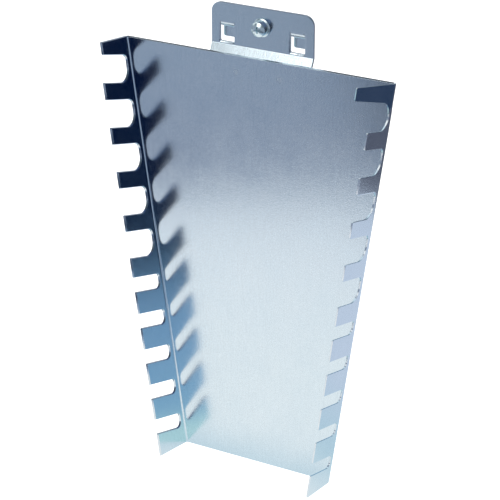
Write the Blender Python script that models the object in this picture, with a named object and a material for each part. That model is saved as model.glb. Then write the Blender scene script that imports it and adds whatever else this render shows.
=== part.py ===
"""Spanner rack for a perforated panel: a bent sheet channel with notched flanges, welded to a hook plate that carries a locking screw.

Frame: metres, +X right, +Y into the panel, +Z up. The origin is on the back face of the hook plate, midway between the two hooks.
"""

import math

import bmesh
import bpy
from mathutils import Vector
from mathutils.geometry import delaunay_2d_cdt

MM = 0.001

# rack channel, mm
RACK_T = 1.0  # sheet thickness
RACK_W_TOP = 147.0  # over the flanges, at the top edge of the back plate
RACK_W_BOTTOM = 84.8
RACK_H = 217.0
RACK_D = 24.6  # front of the back plate to the tips of the teeth
RACK_BEND_R = 1.0  # inside radius of the two folds
RACK_BEND_STEPS = 6
RACK_X = -0.45  # middle of the rack, from the middle of the hook plate

# notches, mm: heights are below the top edge, at the tips of the teeth
BIG_COUNT, BIG_FIRST, BIG_PITCH, BIG_W = 5, 2.95, 22.35, 13.6
SMALL_COUNT, SMALL_FIRST, SMALL_PITCH, SMALL_W = 5, 116.4, 19.25, 7.42
NOTCH_RISE = 0.272  # the notches climb towards their mouths, height per depth
NOTCH_FLOOR = 3.0  # left between a notch and the front of the back plate
BIG_R_UP, BIG_R_LOW = 4.5, 5.6
SMALL_R_UP, SMALL_R_LOW = 2.2, 2.6
ARC_STEPS = 6
TOP_TOOTH_LEAN = {-1: 4.5, 1: 22.0}  # degrees the top teeth lean inwards, left and right
TOP_TOOTH_DROOP = {-1: 0.0, 1: 0.06}  # and how far they sink towards their tips, height per depth

# hook plate, mm
HOOK_T = 1.5
HOOK_W = 55.0
HOOK_TOP = 23.55  # above the top edge of the back plate
HOOK_BOTTOM = -16.5
HOOK_CORNER_R = 5.0
HOOK_FOOT_R = 3.0
HOOK_FRONT_Y = 4.4  # front of the back plate to the front of the hook plate
STEP_ANGLE = 27.0  # slope of the step, degrees from upright
STEP_BEND_R = 1.0
STEP_TOP = 3.5  # where the step starts
SHEET_GAP = 0.1  # between the welded sheets

# hooks, mm
HOOK_PITCH = 38.0
WINDOW_W = 7.9
WINDOW_TOP, WINDOW_BOTTOM = 14.2, 4.4
TAB_SLIT = 0.25
TAB_TOP_R, TAB_LIP_R = 1.4, 0.4  # inside radii of the tab's two bends
TAB_LIP = 4.9

# locking screw (M4) and washer, mm
SCREW_Z = 14.2
SCREW_HOLE_R = 2.1
SHANK_R, SHANK_L = 1.9, 5.0
HEAD_R, HEAD_H, DOME_R = 3.65, 4.2, 6.6
RECESS_L, RECESS_W, RECESS_DEPTH = 3.6, 0.85, 1.5
WASHER_R, WASHER_HOLE_R, WASHER_T = 4.55, 2.2, 0.8
WASHER_SLOPE = 0.3  # drop of the washer's front from under the head to its rim
SEAT_GAP = 0.1

# spot welds, mm
WELD_X, WELD_Z, WELD_R = 11.8, -8.5, 2.5
WELD_CLEAR = 0.1

ROUND = 40
ORIGIN_Z = 9.15  # height of the origin over the top edge of the back plate

# the working drawing puts y = 0 on the front of the back plate and z = 0 on its top edge
Y0 = HOOK_FRONT_Y + HOOK_T
Z0 = ORIGIN_Z


def place(p):
    return Vector((p[0] * MM, (p[1] - Y0) * MM, (p[2] - Z0) * MM))


def material(name, colour, metallic, roughness):
    m = bpy.data.materials.new(name)
    m.use_nodes = True
    shader = m.node_tree.nodes["Principled BSDF"]
    shader.inputs["Base Color"].default_value = (*colour, 1)
    shader.inputs["Metallic"].default_value = metallic
    shader.inputs["Roughness"].default_value = roughness
    return m


def add(name, bm, mat, origin=(0, 0, 0)):
    o = Vector(origin)
    for v in bm.verts:
        v.co -= o
    bmesh.ops.recalc_face_normals(bm, faces=bm.faces)
    mesh = bpy.data.meshes.new(name)
    bm.to_mesh(mesh)
    bm.free()
    mesh.materials.append(mat)
    ob = bpy.data.objects.new(name, mesh)
    ob.location = o
    bpy.context.scene.collection.objects.link(ob)
    return ob


def inside(p, loop):
    hit = False
    for (x0, y0), (x1, y1) in zip(loop, loop[1:] + loop[:1]):
        if (y0 > p[1]) != (y1 > p[1]) and p[0] < (x1 - x0) * (p[1] - y0) / (y1 - y0) + x0:
            hit = not hit
    return hit


def sheet(outline, holes, creases, shape, thickness):
    """A flat blank with holes, cut along its creases, folded by shape(x, z) -> middle point, and thickened about it."""
    points, edges = [], []
    for loop in [outline] + holes:
        n = len(points)
        points += [Vector(p) for p in loop]
        edges += [(n + i, n + (i + 1) % len(loop)) for i in range(len(loop))]
    for a, b in creases:
        edges.append((len(points), len(points) + 1))
        points += [Vector(a), Vector(b)]
    flat, _, faces, *_ = delaunay_2d_cdt(points, edges, [], 0, 1e-5)
    kept = []
    for f in faces:
        a, b, d = (flat[i] for i in f)
        c = (a + b + d) / 3
        # slivers along a straight edge are not part of the sheet
        if abs((b - a).x * (d - a).y - (b - a).y * (d - a).x) < 1e-3:
            continue
        if inside(c, outline) and not any(inside(c, h) for h in holes):
            kept.append(f)
    bm = bmesh.new()
    front, back = {}, {}
    for i in sorted({i for f in kept for i in f}):
        x, z = flat[i]
        mid = Vector(shape(x, z))
        e = 1e-4
        n = (Vector(shape(x, z + e)) - Vector(shape(x, z - e))).cross(Vector(shape(x + e, z)) - Vector(shape(x - e, z)))
        n.normalize()
        front[i] = bm.verts.new(place(mid - n * thickness / 2))
        back[i] = bm.verts.new(place(mid + n * thickness / 2))
    rim = {}
    for f in kept:
        bm.faces.new([front[i] for i in f])
        bm.faces.new([back[i] for i in reversed(f)])
        for a, b in zip(f, f[1:] + f[:1]):
            if (b, a) in rim:
                del rim[(b, a)]
            else:
                rim[(a, b)] = True
    for a, b in rim:
        bm.faces.new([front[b], front[a], back[a], back[b]])
    # flat regions become single faces
    bmesh.ops.dissolve_limit(bm, angle_limit=math.radians(0.05), verts=bm.verts, edges=bm.edges)
    bmesh.ops.triangulate(bm, faces=[f for f in bm.faces if len(f.verts) > 4])
    return bm


def circle(x, z, r, n=ROUND):
    return [(x + r * math.cos(2 * math.pi * i / n), z + r * math.sin(2 * math.pi * i / n)) for i in range(n)]


def fillet(a, corner, b, r, steps):
    """Points of the arc of radius r between the lines a-corner and corner-b."""
    c = Vector(corner)
    u = (Vector(a) - c).normalized()
    v = (Vector(b) - c).normalized()
    half = u.angle(v) / 2
    centre = c + (u + v).normalized() * (r / math.sin(half))
    p = c + u * (r / math.tan(half)) - centre
    q = c + v * (r / math.tan(half)) - centre
    turn = p.angle_signed(q)
    out = []
    for i in range(steps + 1):
        t = -turn * i / steps
        out.append((centre.x + p.x * math.cos(t) - p.y * math.sin(t), centre.y + p.x * math.sin(t) + p.y * math.cos(t)))
    return out


# ---- rack channel ----
TAPER = math.atan((RACK_W_TOP - RACK_W_BOTTOM) / 2 / RACK_H)
CT, ST = math.cos(TAPER), math.sin(TAPER)
BEND_M = RACK_BEND_R + RACK_T / 2
BEND_L = BEND_M * math.pi / 2
FRONT_W = BEND_L + RACK_D - RACK_BEND_R  # unfolded, from the start of the fold to the tips
FLOOR_W = BEND_L + NOTCH_FLOOR - RACK_BEND_R
BASE_X = RACK_W_TOP / 2 - (RACK_T + RACK_BEND_R) / CT
RISE = NOTCH_RISE / CT


def to_flat(side, w, v):
    return (side * (BASE_X + w * CT - v * ST), -w * ST - v * CT)


def along(depth):
    """Distance down the fold of a height below the top edge, at the tips."""
    return (depth - (RACK_T / 2 + RACK_BEND_R) * ST) / CT


def notch(v_up, v_low, r_up, r_low):
    """Outline of one notch from its upper lip to its lower lip, as (w, v)."""
    run = FRONT_W - FLOOR_W
    a, b = (FRONT_W, v_up), (FLOOR_W, v_up + RISE * run)
    c, d = (FLOOR_W, v_low + RISE * run), (FRONT_W, v_low)
    return [a] + fillet(a, b, c, r_up, ARC_STEPS) + fillet(b, c, d, r_low, ARC_STEPS) + [d]


NOTCHES = [(BIG_FIRST + i * BIG_PITCH, BIG_W, BIG_R_UP, BIG_R_LOW) for i in range(BIG_COUNT)]
NOTCHES += [(SMALL_FIRST + i * SMALL_PITCH, SMALL_W, SMALL_R_UP, SMALL_R_LOW) for i in range(SMALL_COUNT)]
LEAN_ALL = along(BIG_FIRST) + RISE * (FRONT_W - FLOOR_W) + 0.4
LEAN_NONE = LEAN_ALL + 7.0


def flange_edge():
    top = (FRONT_W, -FRONT_W * ST / CT)
    bottom = (FRONT_W, (RACK_H - FRONT_W * ST) / CT)
    edge = [top]
    for first, width, r_up, r_low in NOTCHES:
        edge += notch(along(first), along(first + width), r_up, r_low)
    return edge + [bottom]


def rack_shape(x, z):
    side = 1 if x > 0 else -1
    dx = side * x - BASE_X
    w = dx * CT - z * ST
    if w <= 0:
        return (x + RACK_X, RACK_T / 2, z)
    v = -dx * ST - z * CT
    t = min(1, max(0, (LEAN_NONE - v) / (LEAN_NONE - LEAN_ALL)))
    t = t * t * (3 - 2 * t)
    total = math.pi / 2 + math.radians(TOP_TOOTH_LEAN[side]) * t
    v += TOP_TOOTH_DROOP[side] * t * max(0, w - BEND_L)
    r = BEND_L / total
    phi = total * min(w, BEND_L) / BEND_L
    a, y = r * math.sin(phi), RACK_T / 2 - r + r * math.cos(phi)
    if w > BEND_L:
        a += math.cos(total) * (w - BEND_L)
        y -= math.sin(total) * (w - BEND_L)
    fx, fz = to_flat(side, a, v)
    return (fx + RACK_X, y, fz)


def rack_channel():
    right = [to_flat(1, w, v) for w, v in flange_edge()]
    left = [to_flat(-1, w, v) for w, v in reversed(flange_edge())]
    creases = []
    low = RACK_H / CT
    for side in (-1, 1):
        for i in range(RACK_BEND_STEPS + 1):
            w = BEND_L * i / RACK_BEND_STEPS
            creases.append((to_flat(side, w, -w * ST / CT), to_flat(side, w, low - w * ST / CT)))
        steps = 10
        for i in range(steps + 1):
            v = LEAN_ALL - 0.5 + (LEAN_NONE - LEAN_ALL + 0.5) * i / steps
            creases.append((to_flat(side, 0, v), to_flat(side, BEND_L + 9, v)))
    return sheet(right + left, [], creases, rack_shape, RACK_T)


# ---- hook plate ----
HOOK_MID_Y = HOOK_FRONT_Y + HOOK_T / 2
FOOT_MID_Y = RACK_T + SHEET_GAP + HOOK_T / 2
STEP_A = math.radians(STEP_ANGLE)
STEP_M = STEP_BEND_R + HOOK_T / 2
STEP_STRAIGHT = (HOOK_MID_Y - FOOT_MID_Y - 2 * STEP_M * (1 - math.cos(STEP_A))) / math.sin(STEP_A)
STEP_ARC = STEP_M * STEP_A
# unfolded heights of the two bends of the step
STEP_LINES = [STEP_TOP, STEP_TOP - STEP_ARC, STEP_TOP - STEP_ARC - STEP_STRAIGHT, STEP_TOP - 2 * STEP_ARC - STEP_STRAIGHT]
STEP_DROP = 2 * STEP_M * math.sin(STEP_A) + STEP_STRAIGHT * math.cos(STEP_A)
FOOT_SHIFT = (STEP_TOP - STEP_DROP) - STEP_LINES[3]  # real height less unfolded height, below the step
TOP_M, LIP_M = TAB_TOP_R + HOOK_T / 2, TAB_LIP_R + HOOK_T / 2
TOP_ARC, LIP_ARC = TOP_M * math.pi / 2, LIP_M * math.pi / 2
TAB_L = TOP_ARC + LIP_ARC + TAB_LIP
TAB_HALF = WINDOW_W / 2 - TAB_SLIT
TAB_BLANK = WINDOW_TOP - WINDOW_BOTTOM - TAB_SLIT  # length of the tab before it is bent
STRETCH = TAB_L / TAB_BLANK


def tab_shape(q):
    """Middle of the tab, q along it from the top of its window: back, then down."""
    y, z = HOOK_MID_Y, WINDOW_TOP
    if q <= TOP_ARC:
        f = q / TOP_M
        return y + TOP_M * (1 - math.cos(f)), z - TOP_M * math.sin(f)
    y, z, q = y + TOP_M, z - TOP_M, q - TOP_ARC
    if q <= LIP_ARC:
        f = q / LIP_M
        return y + LIP_M * math.sin(f), z - LIP_M * (1 - math.cos(f))
    return y + LIP_M, z - LIP_M - (q - LIP_ARC)


def hook_shape(x, z):
    if z < WINDOW_TOP and z > WINDOW_TOP - TAB_BLANK - 0.05 and abs(abs(x) - HOOK_PITCH / 2) < TAB_HALF + 0.05:
        y, h = tab_shape((WINDOW_TOP - z) * STRETCH)
        return (x, y, h)
    if z >= STEP_LINES[0]:
        return (x, HOOK_MID_Y, z)
    if z >= STEP_LINES[1]:
        f = (STEP_LINES[0] - z) / STEP_M
        return (x, HOOK_MID_Y - STEP_M * (1 - math.cos(f)), STEP_TOP - STEP_M * math.sin(f))
    if z >= STEP_LINES[2]:
        s = STEP_LINES[1] - z
        y = HOOK_MID_Y - STEP_M * (1 - math.cos(STEP_A)) - s * math.sin(STEP_A)
        return (x, y, STEP_TOP - STEP_M * math.sin(STEP_A) - s * math.cos(STEP_A))
    if z >= STEP_LINES[3]:
        f = STEP_A - (STEP_LINES[2] - z) / STEP_M
        return (x, FOOT_MID_Y + STEP_M * (1 - math.cos(f)), STEP_TOP - STEP_DROP + STEP_M * math.sin(f))
    return (x, FOOT_MID_Y, z + FOOT_SHIFT)


def hook_plate():
    h, foot = HOOK_W / 2, HOOK_BOTTOM - FOOT_SHIFT
    corners = [(-h, foot, HOOK_FOOT_R), (h, foot, HOOK_FOOT_R), (h, HOOK_TOP, HOOK_CORNER_R), (-h, HOOK_TOP, HOOK_CORNER_R)]
    outline = []
    for i, (x, z, r) in enumerate(corners):
        before, after = corners[i - 1], corners[(i + 1) % 4]
        outline += fillet(before[:2], (x, z), after[:2], r, 8)
    holes = [circle(0, SCREW_Z, SCREW_HOLE_R)]
    creases = []
    for side in (-1, 1):
        c = side * HOOK_PITCH / 2
        t, w = TAB_HALF, WINDOW_W / 2
        tip = WINDOW_TOP - TAB_BLANK
        # the slot that frees the tab on three sides
        holes.append(
            [(c - w, WINDOW_TOP), (c - w, WINDOW_BOTTOM), (c + w, WINDOW_BOTTOM), (c + w, WINDOW_TOP)]
            + [(c + t, WINDOW_TOP), (c + t, tip), (c - t, tip), (c - t, WINDOW_TOP)]
        )
        holes.append(circle(side * WELD_X, WELD_Z - FOOT_SHIFT, WELD_R + WELD_CLEAR, 32))
        bends = [TOP_ARC * i / 6 for i in range(7)] + [TOP_ARC + LIP_ARC * i / 6 for i in range(1, 7)]
        creases += [((c - t, WINDOW_TOP - q / STRETCH), (c + t, WINDOW_TOP - q / STRETCH)) for q in bends]
    for a, b in ((STEP_LINES[0], STEP_LINES[1]), (STEP_LINES[2], STEP_LINES[3])):
        creases += [((-h, a + (b - a) * i / 4), (h, a + (b - a) * i / 4)) for i in range(5)]
    return sheet(outline, holes, creases, hook_shape, HOOK_T)


# ---- turned pieces, on an axis along Y ----
def turned(profile, z, n=ROUND):
    """Revolve (y, radius) points about the Y axis at height z; a radius of 0 closes the end."""
    bm = bmesh.new()
    rings = []
    for y, r in profile:
        if r == 0:
            rings.append([bm.verts.new(place((0, y, z)))])
        else:
            rings.append([bm.verts.new(place((x, y, zz))) for x, zz in circle(0, z, r, n)])
    pairs = list(zip(rings, rings[1:]))
    if profile[0][1] and profile[-1][1]:
        pairs.append((rings[-1], rings[0]))
    for a, b in pairs:
        for i in range(n):
            j = (i + 1) % n
            ring = [a[i], a[j], b[j], b[i]] if len(a) > 1 and len(b) > 1 else ([a[0], b[j], b[i]] if len(a) == 1 else [a[i], a[j], b[0]])
            bm.faces.new(ring)
    return bm


def lock_washer():
    back = HOOK_FRONT_Y - SEAT_GAP
    front = back - WASHER_T
    return turned([(back, WASHER_HOLE_R), (back, WASHER_R), (front + WASHER_SLOPE, WASHER_R), (front, HEAD_R), (front, WASHER_HOLE_R)], SCREW_Z)


def lock_screw():
    under = HOOK_FRONT_Y - 2 * SEAT_GAP - WASHER_T
    top = under - HEAD_H
    profile = [(top, 0)]
    # ball-shaped top over an upright rim
    for i in range(1, 9):
        r = HEAD_R * i / 8
        profile.append((top + DOME_R - math.sqrt(DOME_R**2 - r**2), r))
    tip = under + SHANK_L
    profile += [(under, HEAD_R), (under, SHANK_R), (tip - 0.5, SHANK_R), (tip, SHANK_R - 0.5), (tip, 0)]
    return turned(profile, SCREW_Z), top


def recess_cutter(top):
    """Cross of two tapering wedges, wide at the top of the head."""
    bm = bmesh.new()
    for turn in (0, 1):
        lo, hi = [], []
        for sx, sz in ((-1, -1), (1, -1), (1, 1), (-1, 1)):
            for ring, y, half_l, half_w in ((hi, top - 0.5, RECESS_L / 2 + 0.2, RECESS_W / 2 + 0.04), (lo, top + RECESS_DEPTH, RECESS_L / 2 - 1.1, RECESS_W / 2 - 0.12)):
                x, z = (sx * half_l, sz * half_w) if turn == 0 else (-sz * half_w, sx * half_l)
                ring.append(bm.verts.new(place((x, y, SCREW_Z + z))))
        bm.faces.new(hi)
        bm.faces.new(lo[::-1])
        for i in range(4):
            j = (i + 1) % 4
            bm.faces.new([hi[j], hi[i], lo[i], lo[j]])
        if turn == 0:
            first = bm
            bm = bmesh.new()
    return first, bm


for ob in list(bpy.data.objects):
    bpy.data.objects.remove(ob, do_unlink=True)

zinc = (0.62, 0.66, 0.70)
add("rack_channel", rack_channel(), material("rack_zinc", zinc, 1.0, 0.30))
add("hook_plate", hook_plate(), material("hook_zinc", (0.58, 0.62, 0.66), 1.0, 0.32))

axis = place((0, HOOK_FRONT_Y, SCREW_Z))
add("lock_washer", lock_washer(), material("washer_zinc", (0.70, 0.74, 0.78), 1.0, 0.22), axis)
screw_mesh, head_top = lock_screw()
screw = add("lock_screw", screw_mesh, material("screw_zinc", (0.74, 0.77, 0.80), 1.0, 0.20), axis)
for name, bm in zip(("recess_a", "recess_b"), recess_cutter(head_top)):
    cutter = add(name, bm, material(name + "_none", zinc, 0, 1), axis)
    cutter.hide_render = True
    cutter.display_type = "WIRE"
    cut = screw.modifiers.new(name, "BOOLEAN")
    cut.operation = "DIFFERENCE"
    cut.solver = "EXACT"
    cut.object = cutter

for name, side in (("spot_weld_left", -1), ("spot_weld_right", 1)):
    front, back = RACK_T + 2 * SHEET_GAP, RACK_T + SHEET_GAP + HOOK_T - 0.1
    bm = turned([(front, 0), (front, WELD_R), (back, WELD_R), (back, 0)], WELD_Z, 32)
    for v in bm.verts:
        v.co.x += side * WELD_X * MM
    add(name, bm, material(name + "_steel", (0.45, 0.46, 0.48), 1.0, 0.45))
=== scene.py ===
import math

import bmesh
import bpy
from mathutils import Matrix, Vector
from mathutils.geometry import delaunay_2d_cdt

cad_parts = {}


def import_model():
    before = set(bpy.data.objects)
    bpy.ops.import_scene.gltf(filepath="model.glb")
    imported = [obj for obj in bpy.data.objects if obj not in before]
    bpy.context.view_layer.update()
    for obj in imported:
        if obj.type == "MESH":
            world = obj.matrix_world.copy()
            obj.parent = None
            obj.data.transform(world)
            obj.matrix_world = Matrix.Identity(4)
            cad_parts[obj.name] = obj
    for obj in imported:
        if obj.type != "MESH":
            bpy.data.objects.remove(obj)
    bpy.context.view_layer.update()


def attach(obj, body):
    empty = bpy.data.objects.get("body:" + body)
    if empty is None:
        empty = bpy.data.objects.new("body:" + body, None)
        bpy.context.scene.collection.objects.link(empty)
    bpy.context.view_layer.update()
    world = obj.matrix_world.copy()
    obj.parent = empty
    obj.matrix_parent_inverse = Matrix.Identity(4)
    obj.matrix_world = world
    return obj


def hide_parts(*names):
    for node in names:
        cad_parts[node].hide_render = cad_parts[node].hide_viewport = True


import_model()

MM = 0.001

# ---------------------------------------------------------------- sizes, mm
RACK_T, RACK_W_TOP, RACK_W_BOTTOM, RACK_H, RACK_D, RACK_BEND_R = 1.0, 147.0, 84.8, 217.0, 24.6, 1.0
RACK_X = -0.45
BIG_COUNT, BIG_FIRST, BIG_PITCH, BIG_W = 5, 2.95, 22.35, 13.6
SMALL_COUNT, SMALL_FIRST, SMALL_PITCH, SMALL_W = 5, 116.4, 19.25, 7.42
NOTCH_RISE, NOTCH_FLOOR = 0.272, 3.0
BIG_R_UP, BIG_R_LOW, SMALL_R_UP, SMALL_R_LOW = 4.5, 5.6, 2.2, 2.6
TOP_TOOTH_LEAN = {-1: 4.5, 1: 22.0}
TOP_TOOTH_DROOP = {-1: 0.0, 1: 0.06}

HOOK_T, HOOK_W, HOOK_TOP, HOOK_BOTTOM, HOOK_CORNER_R, HOOK_FOOT_R = 1.5, 55.0, 23.55, -16.5, 5.0, 3.0
HOOK_FRONT_Y, STEP_ANGLE, STEP_BEND_R, STEP_TOP, SHEET_GAP = 4.4, 27.0, 1.0, 3.5, 0.1
HOOK_PITCH, WINDOW_W, WINDOW_TOP, WINDOW_BOTTOM = 38.0, 7.9, 14.2, 4.4
TAB_SLIT, TAB_TOP_R, TAB_LIP_R, TAB_LIP = 0.25, 1.4, 0.4, 4.9

SCREW_Z, SCREW_HOLE_R = 14.2, 2.1
SHANK_R, SHANK_L, THREAD_DEPTH, THREAD_PITCH = 1.9, 5.0, 0.33, 0.7
HEAD_R, HEAD_H, DOME_R = 3.65, 4.2, 6.6
RECESS_L, RECESS_W, RECESS_DEPTH = 3.6, 0.85, 1.5
WASHER_R, WASHER_HOLE_R, WASHER_T, WASHER_SLOPE, SEAT_GAP = 4.55, 2.2, 0.8, 0.3, 0.1
WELD_X, WELD_Z, WELD_R, WELD_CLEAR = 11.8, -8.5, 2.5, 0.1

EDGE = 0.12  # break on the cut edges
SHEAR, TEAR = 0.55, 0.05  # sheared share of the thickness, and the set-back of the torn rest
LEAN = 0.46  # set-back of the rack's cut edges on the inner side
ROLL = ((0.05, 0.0), (0.12, 0.015), (0.20, 0.05), (0.65, 0.29), (0.75, 0.36), (0.82, 0.46), (0.84, 0.58))  # drawn-in window edges: out, depth
CORNER = 0.5  # rounding of the blank's sharp corners

Y0 = HOOK_FRONT_Y + HOOK_T
Z0 = 9.15


def place(p):
    return Vector((p[0] * MM, (p[1] - Y0) * MM, (p[2] - Z0) * MM))


# ---------------------------------------------------------------- sheet pieces
def circle(x, z, r, n):
    return [(x + r * math.cos(2 * math.pi * i / n), z + r * math.sin(2 * math.pi * i / n)) for i in range(n)]


def fillet(a, corner, b, r, steps):
    """Points of the arc of radius r between the lines a-corner and corner-b."""
    c = Vector(corner)
    u = (Vector(a) - c).normalized()
    v = (Vector(b) - c).normalized()
    half = u.angle(v) / 2
    centre = c + (u + v).normalized() * (r / math.sin(half))
    p = c + u * (r / math.tan(half)) - centre
    q = c + v * (r / math.tan(half)) - centre
    turn = p.angle_signed(q)
    out = []
    for i in range(steps + 1):
        t = -turn * i / steps
        out.append((centre.x + p.x * math.cos(t) - p.y * math.sin(t), centre.y + p.x * math.sin(t) + p.y * math.cos(t)))
    return out


def rounded(corners):
    """A closed loop from (x, z, radius, steps) corners."""
    loop = []
    for i, (x, z, r, steps) in enumerate(corners):
        before, after = corners[i - 1], corners[(i + 1) % len(corners)]
        loop += fillet(before[:2], (x, z), after[:2], r, steps)
    return loop


def area(loop):
    return sum(a[0] * b[1] - b[0] * a[1] for a, b in zip(loop, loop[1:] + loop[:1])) / 2


def tidy(loop):
    out = []
    for p in loop:
        if not out or (Vector(p) - Vector(out[-1])).length > 1e-4:
            out.append(tuple(p))
    if (Vector(out[0]) - Vector(out[-1])).length < 1e-4:
        out.pop()
    return out


def into_sheet(loop, hole):
    """For each edge of the loop, the unit vector that points into the metal."""
    sign = 1 if (area(loop) > 0) != hole else -1
    out = []
    for a, b in zip(loop, loop[1:] + loop[:1]):
        d = (Vector(b) - Vector(a)).normalized()
        out.append(Vector((-d.y, d.x)) * sign)
    return out


def inside(p, loop):
    hit = False
    for (x0, y0), (x1, y1) in zip(loop, loop[1:] + loop[:1]):
        if (y0 > p[1]) != (y1 > p[1]) and p[0] < (x1 - x0) * (p[1] - y0) / (y1 - y0) + x0:
            hit = not hit
    return hit


def square_cut(thickness, way):
    """Across a cut: rolled-over front corner, smooth sheared band, torn band set back a little, back corner."""
    half = thickness / 2
    return [(EDGE, EDGE - half, 1), (EDGE, SHEAR * thickness - half, 1), (EDGE - TEAR, SHEAR * thickness - half + 0.08, 2), (EDGE - TEAR, half - EDGE, 2), (0, half, 2)]


def leaning_cut(thickness, way):
    """A cut that leans out from the inner face to the outer face."""
    half = thickness / 2
    front = [(0.05, -half, 0), (0.09, 0.02 - half, 0), (0.13, 0.07 - half, 1)]
    return front + [(LEAN - 0.02, half - 0.08, 1), (LEAN, half - 0.04, 1), (LEAN - 0.01, half - 0.01, 1), (LEAN - 0.05, half, 0), (0, half, 0)]


def rolled_cut(thickness, way):
    """A cut whose front edge is drawn in by the punch along its lower side, and hardly elsewhere."""
    half = thickness / 2
    end = ROLL[-1][0]
    share = 0.12 + 0.88 * min(1, max(0, way.y)) ** 2
    front = [(out, depth * share - half, 0) for out, depth in ROLL]
    return front + [(end, 0.62 * thickness - half, 2), (end - TEAR, 0.62 * thickness - half + 0.06, 2), (end - TEAR, half - 0.1, 2), (end - 0.15, half, 2), (0, half, 0)]


def sheet(name, outline, holes, creases, shape, thickness, materials, cuts):
    """A flat blank with holes, folded by shape(x, z) -> middle point, thickened about it, with its cut edges broken.

    cuts holds a function for each loop, which gives the (out, off, material) points across its cut, from the front face to
    the back, for a way out of the sheet."""
    loops = []
    for k, loop in enumerate([outline] + holes):
        loop = tidy(loop)
        n = into_sheet(loop, k > 0)
        reach = max(out for out, _, _ in cuts[k](thickness, n[0]))
        inner = []
        for i, p in enumerate(loop):
            a, b = n[i - 1], n[i]
            inner.append(Vector(p) + (a + b) * (reach / (1 + a.dot(b))))
        loops.append((inner, n))
    points, edges = [], []
    for inner, _ in loops:
        first = len(points)
        points += inner
        edges += [(first + i, first + (i + 1) % len(inner)) for i in range(len(inner))]
    for a, b in creases:
        edges.append((len(points), len(points) + 1))
        points += [Vector(a), Vector(b)]
    flat, _, faces, *_ = delaunay_2d_cdt(points, edges, [], 0, 2e-4)
    rings = [[tuple(p) for p in inner] for inner, _ in loops]
    kept = []
    for f in faces:
        a, b, d = (flat[i] for i in f)
        c = (a + b + d) / 3
        if abs((b - a).x * (d - a).y - (b - a).y * (d - a).x) < 1e-4:
            continue
        if inside(c, rings[0]) and not any(inside(c, h) for h in rings[1:]):
            kept.append(f)

    def outwards(p):
        """The loop that a point on an inner loop belongs to, and the way out from it, square to the cut."""
        best, found = 1e9, None
        for k, (inner, n) in enumerate(loops):
            m = len(inner)
            for i in range(m):
                a, b = inner[i], inner[(i + 1) % m]
                d = b - a
                t = min(1, max(0, (p - a).dot(d) / d.length_squared))
                gap = (a + d * t - p).length
                if gap < best - 1e-9:
                    if t < 1e-6:
                        u, v = n[i - 1], n[i]
                    elif t > 1 - 1e-6:
                        u, v = n[i], n[(i + 1) % m]
                    else:
                        u = v = n[i]
                    best, found = gap, (k, (u + v) * (-1 / (1 + u.dot(v))))
        return found

    def at(p, off):
        x, z = p
        e = 1e-4
        mid = Vector(shape(x, z))
        n = (Vector(shape(x, z + e)) - Vector(shape(x, z - e))).cross(Vector(shape(x + e, z)) - Vector(shape(x - e, z)))
        n.normalize()
        return place(mid + n * off)

    half = thickness / 2
    bm = bmesh.new()
    front, back, rim = {}, {}, {}
    for i in sorted({i for f in kept for i in f}):
        front[i] = bm.verts.new(at(flat[i], -half))
        back[i] = bm.verts.new(at(flat[i], half))
    for f in kept:
        bm.faces.new([front[i] for i in f])
        bm.faces.new([back[i] for i in reversed(f)])
        for a, b in zip(f, f[1:] + f[:1]):
            if (b, a) in rim:
                del rim[(b, a)]
            else:
                rim[(a, b)] = True
    rows = {}
    for i in sorted({i for e in rim for i in e}):
        k, way = outwards(flat[i])
        cut = cuts[k](thickness, way)
        # the last point of a cut lies on the back face
        rows[i] = k, [front[i]] + [bm.verts.new(at(flat[i] + way * out, off)) for out, off, _ in cut[:-1]] + [back[i]], cut
    for a, b in rim:
        (loop, near, cut), (other, far, _) = rows[a], rows[b]
        if loop != other:
            raise ValueError(f"{name}: a cut edge joins two loops")
        for k, (_, _, slot) in enumerate(cut):
            bm.faces.new([far[k], near[k], near[k + 1], far[k + 1]]).material_index = slot
    return finish_piece(name, bm, materials, 32)


def finish_piece(name, bm, materials, sharp):
    bmesh.ops.recalc_face_normals(bm, faces=bm.faces)
    mesh = bpy.data.meshes.new(name)
    bm.to_mesh(mesh)
    bm.free()
    for m in materials:
        mesh.materials.append(m)
    mesh.polygons.foreach_set("use_smooth", [True] * len(mesh.polygons))
    mesh.set_sharp_from_angle(angle=math.radians(sharp))
    ob = bpy.data.objects.new(name, mesh)
    bpy.context.scene.collection.objects.link(ob)
    return ob


# ---- rack channel ----
TAPER = math.atan((RACK_W_TOP - RACK_W_BOTTOM) / 2 / RACK_H)
CT, ST = math.cos(TAPER), math.sin(TAPER)
BEND_M = RACK_BEND_R + RACK_T / 2
BEND_L = BEND_M * math.pi / 2
FRONT_W = BEND_L + RACK_D - RACK_BEND_R - 0.003
FLOOR_W = BEND_L + NOTCH_FLOOR - RACK_BEND_R
BASE_X = RACK_W_TOP / 2 - (RACK_T + RACK_BEND_R) / CT
RISE = NOTCH_RISE / CT


def to_flat(side, w, v):
    return (side * (BASE_X + w * CT - v * ST), -w * ST - v * CT)


def along(depth):
    return (depth - (RACK_T / 2 + RACK_BEND_R) * ST) / CT


NOTCHES = [(BIG_FIRST + i * BIG_PITCH, BIG_W, BIG_R_UP, BIG_R_LOW) for i in range(BIG_COUNT)]
NOTCHES += [(SMALL_FIRST + i * SMALL_PITCH, SMALL_W, SMALL_R_UP, SMALL_R_LOW) for i in range(SMALL_COUNT)]
LEAN_ALL = along(BIG_FIRST) + RISE * (FRONT_W - FLOOR_W) + 0.4
LEAN_NONE = LEAN_ALL + 7.0


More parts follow.
